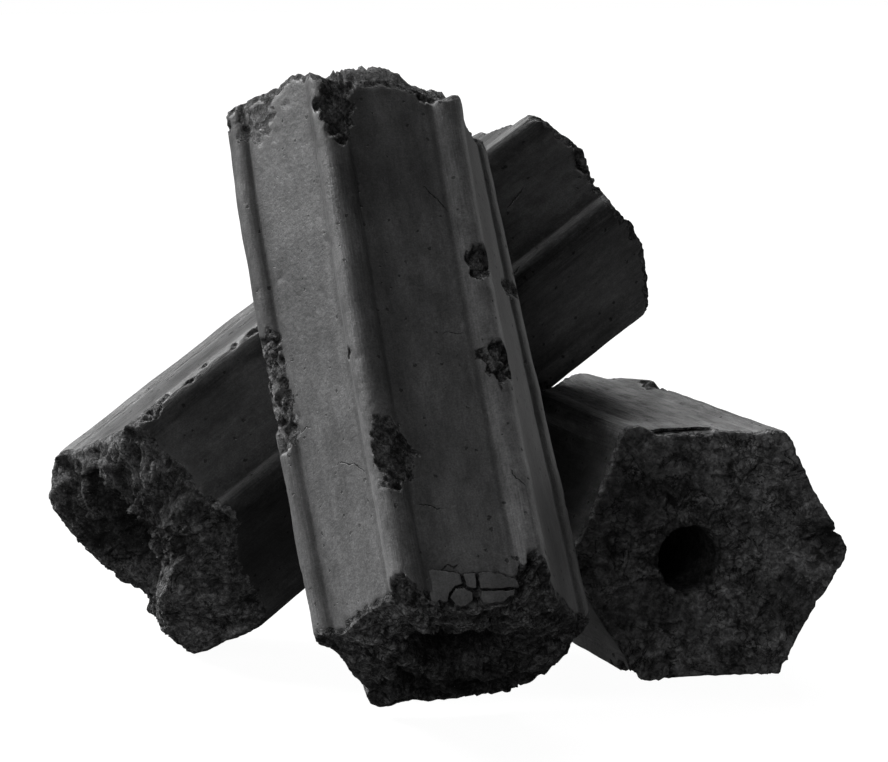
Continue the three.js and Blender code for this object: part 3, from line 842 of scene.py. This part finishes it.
# ---------------------------------------------------------------- materials
def charcoal(name, tone=1.0):
    mat = bpy.data.materials.new(name)
    mat.use_nodes = True
    nt = mat.node_tree
    nt.nodes.clear()
    N, L = nt.nodes, nt.links

    def link(a, b):
        L.new(a, b)

    def attribute(key, vector=False):
        n = N.new("ShaderNodeAttribute")
        n.attribute_type = "GEOMETRY"
        n.attribute_name = key
        return n.outputs["Vector" if vector else "Fac"]

    def put(socket, value):
        if isinstance(value, bpy.types.NodeSocket):
            link(value, socket)
        else:
            socket.default_value = value

    def maths(op, a, b=0.0, c=0.0, clamp=False):
        n = N.new("ShaderNodeMath")
        n.operation = op
        n.use_clamp = clamp
        for s, v in zip(n.inputs, (a, b, c)):
            put(s, v)
        return n.outputs[0]

    def mapped(scale):
        n = N.new("ShaderNodeVectorMath")
        n.operation = "MULTIPLY"
        put(n.inputs[0], P)
        n.inputs[1].default_value = scale
        return n.outputs[0]

    def noise_at(vector, scale, detail=2.0, rough=0.5, distort=0.0):
        n = N.new("ShaderNodeTexNoise")
        put(n.inputs["Vector"], vector)
        n.inputs["Scale"].default_value = scale
        n.inputs["Detail"].default_value = detail
        n.inputs["Roughness"].default_value = rough
        n.inputs["Distortion"].default_value = distort
        return n.outputs[0]

    def maths_vector(vector, amount):
        """The vector pushed about by a value, so that what is drawn along it is crooked."""
        n = N.new("ShaderNodeVectorMath")
        n.operation = "MULTIPLY_ADD"
        put(n.inputs[0], amount)
        n.inputs[1].default_value = (3.2, 2.4, 2.8)
        put(n.inputs[2], vector)
        return n.outputs[0]

    def cells(vector, scale, feature="F1", randomness=1.0):
        n = N.new("ShaderNodeTexVoronoi")
        n.feature = feature
        put(n.inputs["Vector"], vector)
        n.inputs["Scale"].default_value = scale
        n.inputs["Randomness"].default_value = randomness
        return n

    def ramp(x, lo, hi, a=0.0, b=1.0):
        n = N.new("ShaderNodeMapRange")
        n.interpolation_type = "SMOOTHSTEP"
        put(n.inputs["Value"], x)
        n.inputs["From Min"].default_value = lo
        n.inputs["From Max"].default_value = hi
        n.inputs["To Min"].default_value = a
        n.inputs["To Max"].default_value = b
        return n.outputs[0]

    def blend(f, a, b):
        n = N.new("ShaderNodeMix")
        n.data_type = "FLOAT"
        put(n.inputs["Factor"], f)
        put(n.inputs[2], a)
        put(n.inputs[3], b)
        return n.outputs[0]

    raw = attribute("stick", True)
    ten = N.new("ShaderNodeVectorMath")
    ten.operation = "SCALE"
    link(raw, ten.inputs[0])
    ten.inputs["Scale"].default_value = 10.0
    P = ten.outputs[0]  # mm
    frac, bore_painted_shade, relief = attribute("frac"), attribute("bore_painted_shade"), attribute("relief")
    crack_d, crack_w, rib = attribute("crack_d"), attribute("crack_w"), attribute("rib")
    shade, streak, fracture_tone_with_painted_light, calm = attribute("tone"), attribute("streak"), attribute("fracture_tone_with_painted_light"), attribute("calm")
    gloss = attribute("gloss")

    # ---- skin
    cloud = noise_at(P, 0.075, 3, 0.55)
    patch = noise_at(mapped((1, 1, 0.45)), 0.30, 3, 0.6)
    grain = noise_at(P, 1.1, 4, 0.68)
    fine = noise_at(P, 3.2, 2, 0.6)
    drag = noise_at(mapped((1, 1, 0.030)), 3.4, 3, 0.6)
    drag_on = maths("MULTIPLY", ramp(rib, 0.25, 0.8), ramp(noise_at(mapped((1, 1, 0.3)), 0.11, 2), 0.40, 0.58))
    drag_all = maths("MULTIPLY_ADD", drag_on, 0.8, 0.2)
    v = maths("MULTIPLY_ADD", maths("SUBTRACT", cloud, 0.5), 1.3, 1.0)
    v = maths("MULTIPLY", v, maths("MULTIPLY_ADD", maths("SUBTRACT", patch, 0.5), 1.1, 1.0))
    v = maths("MULTIPLY", v, maths("MULTIPLY_ADD", maths("SUBTRACT", grain, 0.5), 1.0, 1.0))
    v = maths("MULTIPLY", v, maths("MULTIPLY_ADD", maths("SUBTRACT", fine, 0.5), 1.3, 1.0))
    drag_mix = maths("MULTIPLY_ADD", streak, 1.3, maths("MULTIPLY", drag_all, 1.0))
    v = maths("MULTIPLY", v, maths("MULTIPLY_ADD", maths("SUBTRACT", drag, 0.5), drag_mix, 1.0))
    blotch = noise_at(mapped((1, 1, 0.30)), 0.55, 4, 0.65)
    v = maths("MULTIPLY", v, maths("MULTIPLY_ADD", maths("SUBTRACT", blotch, 0.5), maths("MULTIPLY_ADD", streak, 2.6, 0.5), 1.0))
    v = maths("MAXIMUM", v, 0.15)
    # pale scuffs
    scuff = ramp(noise_at(mapped((1, 1, 0.25)), 0.42, 5, 0.62), 0.62, 0.78)
    v = maths("MULTIPLY", v, maths("MULTIPLY_ADD", scuff, 0.42, 1.0))
    # pits: a dip in the bump, and painted shade in them
    pit_cells = cells(P, 0.62)
    pit_rand = N.new("ShaderNodeSeparateColor")
    link(pit_cells.outputs["Color"], pit_rand.inputs[0])
    pit_size = ramp(pit_rand.outputs[0], 0.72, 1.0, 0.04, 0.20)
    pit = ramp(maths("SUBTRACT", maths("ADD", pit_cells.outputs["Distance"], maths("MULTIPLY", maths("SUBTRACT", fine, 0.5), 0.35)), pit_size), 0.0, 0.06, 1.0, 0.0)
    pit = maths("MULTIPLY", pit, maths("GREATER_THAN", pit_rand.outputs[0], 0.72))
    # pale specks
    speck_cells = cells(P, 1.7)
    speck_rand = N.new("ShaderNodeSeparateColor")
    link(speck_cells.outputs["Color"], speck_rand.inputs[0])
    speck = maths("MULTIPLY", maths("GREATER_THAN", speck_rand.outputs[1], 0.965), ramp(speck_cells.outputs["Distance"], 0.10, 0.22, 1.0, 0.0))
    # painted shade in the pits
    v = maths("MULTIPLY", v, maths("MULTIPLY_ADD", pit, -0.62, 1.0))
    v = maths("MULTIPLY", v, maths("MULTIPLY_ADD", speck, 1.1, 1.0))
    # hairline cracks: a dip in the bump, and painted shade in them
    shaky = maths("ADD", crack_d, maths("ADD", maths("MULTIPLY", maths("SUBTRACT", noise_at(P, 1.1, 3), 0.5), 1.1), maths("MULTIPLY", maths("SUBTRACT", fine, 0.5), 0.2)))
    crack = ramp(maths("SUBTRACT", maths("ABSOLUTE", shaky), crack_w), -0.03, 0.07, 1.0, 0.0)
    crack = maths("MULTIPLY", crack, maths("GREATER_THAN", crack_w, 0.015))
    v = maths("MULTIPLY", v, maths("MULTIPLY_ADD", crack, -0.86, 1.0))
    # the skin's colour, with its painted light and shade
    skin_v = maths("MULTIPLY", maths("MULTIPLY", v, shade), 0.062 * tone)

    # ---- fracture
    r_big = noise_at(P, 0.35, 4, 0.6, 0.3)
    r_grain = noise_at(P, 1.9, 5, 0.7)
    chunk = cells(P, 1.1)
    chunk_rand = N.new("ShaderNodeSeparateColor")
    link(chunk.outputs["Color"], chunk_rand.inputs[0])
    r_mid = noise_at(P, 0.85, 5, 0.68, 0.6)
    b = maths("MULTIPLY_ADD", maths("SUBTRACT", r_big, 0.5), 2.8, 1.0)
    b = maths("MULTIPLY", b, blend(maths("MULTIPLY", calm, 0.45), ramp(r_mid, 0.32, 0.68, 0.30, 1.80), 1.0))
    b = maths("MULTIPLY", b, blend(calm, ramp(r_grain, 0.34, 0.66, 0.50, 1.55), 1.0))
    # crooked fissures, here and there, and hollows: painted shade in both, and the fissures also dip in the bump
    vein = ramp(maths("ABSOLUTE", maths("SUBTRACT", noise_at(P, 0.20, 5, 0.62, 0.7), 0.5)), 0.004, 0.022, 1.0, 0.0)
    vein = maths("MULTIPLY", vein, ramp(noise_at(P, 0.16, 2), 0.44, 0.56))
    painted_hollow_shade = ramp(noise_at(P, 0.34, 4, 0.6, 0.4), 0.33, 0.41, 1.0, 0.0)
    b = maths("MULTIPLY", b, maths("MULTIPLY_ADD", maths("MAXIMUM", vein, maths("MULTIPLY", painted_hollow_shade, 0.8)), -0.78, 1.0))
    b = maths("MULTIPLY", b, maths("MULTIPLY_ADD", maths("SUBTRACT", chunk_rand.outputs[0], 0.5), 0.4, 1.0))
    # seams between grains: painted shade in them, and a dip in the bump
    seam = cells(maths_vector(P, r_grain), 0.55, "DISTANCE_TO_EDGE")
    seam_on = ramp(noise_at(P, 0.21, 2), 0.42, 0.60)
    seam_dark = maths("MULTIPLY", ramp(seam.outputs["Distance"], 0.0, 0.14, 1.0, 0.0), seam_on)
    b = maths("MULTIPLY", b, maths("MULTIPLY_ADD", seam_dark, -0.6, 1.0))
    # painted shade in the low parts of the broken ends, painted light on their raised lumps
    b = maths("MULTIPLY", b, ramp(relief, -1.8, 1.4, 0.35, 1.45))
    b = maths("MAXIMUM", b, 0.10)
    # painted glints: pale specks in the base colour of the broken ground, which are also smoother
    painted_glint_cells = cells(P, 2.6)
    painted_glint_rand = N.new("ShaderNodeSeparateColor")
    link(painted_glint_cells.outputs["Color"], painted_glint_rand.inputs[0])
    painted_glint = maths("MULTIPLY", maths("GREATER_THAN", painted_glint_rand.outputs[2], 0.955), ramp(painted_glint_cells.outputs["Distance"], 0.14, 0.26, 1.0, 0.0))
    # the broken ground's own tone, with its painted light and shade
    b = maths("MULTIPLY", maths("MULTIPLY", b, fracture_tone_with_painted_light), 0.094 * tone)
    b = maths("MULTIPLY_ADD", painted_glint, 0.19, b)

    edge_wobble = maths("MULTIPLY_ADD", maths("SUBTRACT", r_grain, 0.5), 1.3, frac)
    edge_wobble = maths("MULTIPLY_ADD", maths("SUBTRACT", fine, 0.5), 0.6, edge_wobble)
    broken = ramp(edge_wobble, 0.36, 0.62)
    broken = maths("MULTIPLY", broken, maths("GREATER_THAN", frac, 0.04))
    broken = maths("MAXIMUM", broken, maths("GREATER_THAN", frac, 0.98))
    value = blend(broken, skin_v, b)
    # painted shade inside the bore
    value = maths("MULTIPLY", value, maths("MULTIPLY_ADD", bore_painted_shade, -0.70, 1.0))
    rgb = N.new("ShaderNodeCombineColor")
    link(value, rgb.inputs[0])
    link(value, rgb.inputs[1])
    link(maths("MULTIPLY", value, 1.012), rgb.inputs[2])

    rough = blend(broken, maths("MULTIPLY_ADD", maths("SUBTRACT", grain, 0.5), 0.25, 0.50), maths("MULTIPLY_ADD", painted_glint, -0.4, 0.82))
    rough = maths("ADD", rough, maths("MULTIPLY", pit, 0.2), clamp=True)

    # ---- relief too fine for the mesh, in mm
    skin_h = maths("MULTIPLY", maths("SUBTRACT", grain, 0.5), 0.085)
    skin_h = maths("MULTIPLY_ADD", maths("SUBTRACT", fine, 0.5), 0.035, skin_h)
    skin_h = maths("MULTIPLY_ADD", maths("MULTIPLY", maths("SUBTRACT", drag, 0.5), drag_mix), 0.065, skin_h)
    skin_h = maths("MULTIPLY_ADD", maths("MULTIPLY", maths("SUBTRACT", blotch, 0.5), streak), 0.35, skin_h)
    skin_h = maths("MULTIPLY_ADD", maths("SUBTRACT", patch, 0.5), 0.12, skin_h)
    skin_h = maths("MULTIPLY_ADD", pit, -0.14, skin_h)
    skin_h = maths("MULTIPLY_ADD", crack, -0.25, skin_h)
    frac_h = maths("MULTIPLY", maths("SUBTRACT", r_grain, 0.5), 1.5)
    frac_h = maths("MULTIPLY_ADD", maths("SUBTRACT", noise_at(P, 4.0, 3, 0.6), 0.5), 0.42, frac_h)
    frac_h = maths("MULTIPLY_ADD", maths("SUBTRACT", r_mid, 0.5), 1.5, frac_h)
    frac_h = maths("MULTIPLY_ADD", cells(P, 0.9, "F1").outputs["Distance"], -0.22, frac_h)
    frac_h = maths("MULTIPLY", frac_h, maths("MULTIPLY_ADD", calm, -0.6, 1.0))
    frac_h = maths("MULTIPLY_ADD", seam_dark, -0.35, frac_h)
    frac_h = maths("MULTIPLY_ADD", vein, -0.45, frac_h)
    frac_h = maths("MULTIPLY_ADD", maths("SUBTRACT", noise_at(P, 0.55, 3, 0.55), 0.5), 1.6, frac_h)
    height = blend(broken, skin_h, frac_h)
    bump = N.new("ShaderNodeBump")
    bump.inputs["Strength"].default_value = 1.0
    bump.inputs["Distance"].default_value = 0.001
    link(height, bump.inputs["Height"])

    bsdf = N.new("ShaderNodeBsdfPrincipled")
    link(rgb.outputs[0], bsdf.inputs["Base Color"])
    link(rough, bsdf.inputs["Roughness"])
    link(bump.outputs[0], bsdf.inputs["Normal"])
    bsdf.inputs["IOR"].default_value = 1.5
    sheen = maths("MULTIPLY", maths("MULTIPLY", gloss, 0.26), blend(maths("MINIMUM", streak, 1.0), 1.0, maths("MINIMUM", v, 1.6)))
    link(blend(broken, sheen, 0.20), bsdf.inputs["Specular IOR Level"])
    out = N.new("ShaderNodeOutputMaterial")
    link(bsdf.outputs[0], out.inputs[0])
    return mat


skin = charcoal("charcoal_skin")
flake_mat = charcoal("charcoal_flake", 1.0)


def outward(ob):
    """Turns the faces outward."""
    me = ob.data
    me.calc_loop_triangles()
    co = np.zeros(len(me.vertices) * 3)
    me.vertices.foreach_get("co", co)
    co = co.reshape(-1, 3)
    tri = np.zeros(len(me.loop_triangles) * 3, np.int32)
    me.loop_triangles.foreach_get("vertices", tri)
    a, b, c = co[tri[0::3]], co[tri[1::3]], co[tri[2::3]]
    if (a * np.cross(b, c)).sum() < 0:
        me.flip_normals()
    me.update()


SIZES = dict(front_stick=(352, 194, 34, 20), crossing_stick=(340, 190, 34, 22), right_stick=(360, 150, 46, 18))
pieces = []
for name, s, body, front, zones in (
    ("front_stick", FRONT, "leaning", (-25, 205), [(20, 34, 1.5), (36, 68, 1.5), (88, 101, 1.5)]),
    ("crossing_stick", CROSSING, "crossing", (-10, 210), [(0, 14, 1.5), (108, 122, 1.3)]),
    ("right_stick", RIGHT, "lying", (-10, 250), [(0, 12, 1.5), (42, 60, 1.2)]),
):
    n, nr, ne, nb = SIZES[name]
    ob = build_stick("charcoal_" + name, s, n, nr, ne, nb, front, zones)
    outward(ob)
    ob.data.materials.append(skin)
    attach(ob, body)
    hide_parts(name)
    pieces.append(ob)
for table, s, body in ((FRONT_FLAKES, FRONT, "leaning"), (RIGHT_FLAKES, RIGHT, "lying")):
    for name, outline in table.items():
        ob = build_flake("charcoal_" + name, s, outline, [o for other, o in table.items() if other != name])
        outward(ob)
        ob.data.materials.append(flake_mat)
        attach(ob, body)
        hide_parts(name)
        pieces.append(ob)

# ---------------------------------------------------------------- floor, light, camera
scene = bpy.context.scene
floor_me = bpy.data.meshes.new("floor")
e = 3.0
floor_me.from_pydata([(-e, -e, 0), (e, -e, 0), (e, e, 0), (-e, e, 0)], [], [(0, 1, 2, 3)])
floor = bpy.data.objects.new("floor", floor_me)
scene.collection.objects.link(floor)
floor_mat = bpy.data.materials.new("pale_floor")
floor_mat.use_nodes = True
fn, fl = floor_mat.node_tree.nodes, floor_mat.node_tree.links
fb = fn["Principled BSDF"]
fb.inputs["Base Color"].default_value = (0.06, 0.06, 0.06, 1)
fb.inputs["Roughness"].default_value = 0.9
fb.inputs["Specular IOR Level"].default_value = 0.1
# the floor shows pale, and yet throws little light back up at the pile
seen = fn.new("ShaderNodeLightPath")
lit = fn.new("ShaderNodeMapRange")
lit.inputs["To Min"].default_value = 0.08
lit.inputs["To Max"].default_value = 0.97
fl.new(seen.outputs["Is Camera Ray"], lit.inputs["Value"])
fb.inputs["Emission Color"].default_value = (1, 1, 1, 1)
fl.new(lit.outputs[0], fb.inputs["Emission Strength"])
floor_me.materials.append(floor_mat)


# the camera's own directions, for placing the lights
RT = Vector((0.9296, -0.3685, 0.0059))
UP = Vector((0.0537, 0.1513, 0.987))
VD = Vector((0.3646, 0.9172, -0.1604))
EYE = Vector(((-251.0049 + CENTRE[0]) / 1000, (-495.438 + CENTRE[1]) / 1000, 146.4515 / 1000))
middle = Vector((0, 0, 0.05))


def sun(name, towards, strength, spread):
    """A far, soft light that comes from the direction given in the camera's right, up and towards axes."""
    light = bpy.data.lights.new(name, "SUN")
    light.energy = strength
    light.angle = math.radians(spread)
    ob = bpy.data.objects.new(name, light)
    scene.collection.objects.link(ob)
    d = RT * towards[0] + UP * towards[1] - VD * towards[2]
    ob.location = middle + d * 1.0
    ob.rotation_euler = (-d).to_track_quat("-Z", "Y").to_euler()
    return ob


sun("key", (-0.66, 0.62, -0.34), 7.5, 26)
sun("top", (0.0, 0.85, -0.50), 2.6, 40)
sun("fill", (-0.45, 0.35, 0.82), 0.80, 45)
sun("rim", (0.75, 0.30, -0.60), 0.34, 30)

world = bpy.data.worlds.new("studio")
scene.world = world
world.use_nodes = True
wn, wl = world.node_tree.nodes, world.node_tree.links
wn.clear()
bg = wn.new("ShaderNodeBackground")
bg.inputs[0].default_value = (1, 1, 1, 1)
path = wn.new("ShaderNodeLightPath")
mixed = wn.new("ShaderNodeMapRange")
wl.new(path.outputs["Is Camera Ray"], mixed.inputs["Value"])
mixed.inputs["To Min"].default_value = 0.04
mixed.inputs["To Max"].default_value = 1.0
wl.new(mixed.outputs[0], bg.inputs[1])
wout = wn.new("ShaderNodeOutputWorld")
wl.new(bg.outputs[0], wout.inputs[0])

cam_data = bpy.data.cameras.new("camera")
cam_data.sensor_width = 36
cam_data.lens = 36 * 3001.7583 / 888
cam_data.clip_start = 0.01
cam = bpy.data.objects.new("camera", cam_data)
scene.collection.objects.link(cam)
m = Matrix((RT, UP, -VD)).transposed().to_4x4()
m.translation = EYE
cam.matrix_world = m
scene.camera = cam
scene.view_settings.view_transform = "Standard"
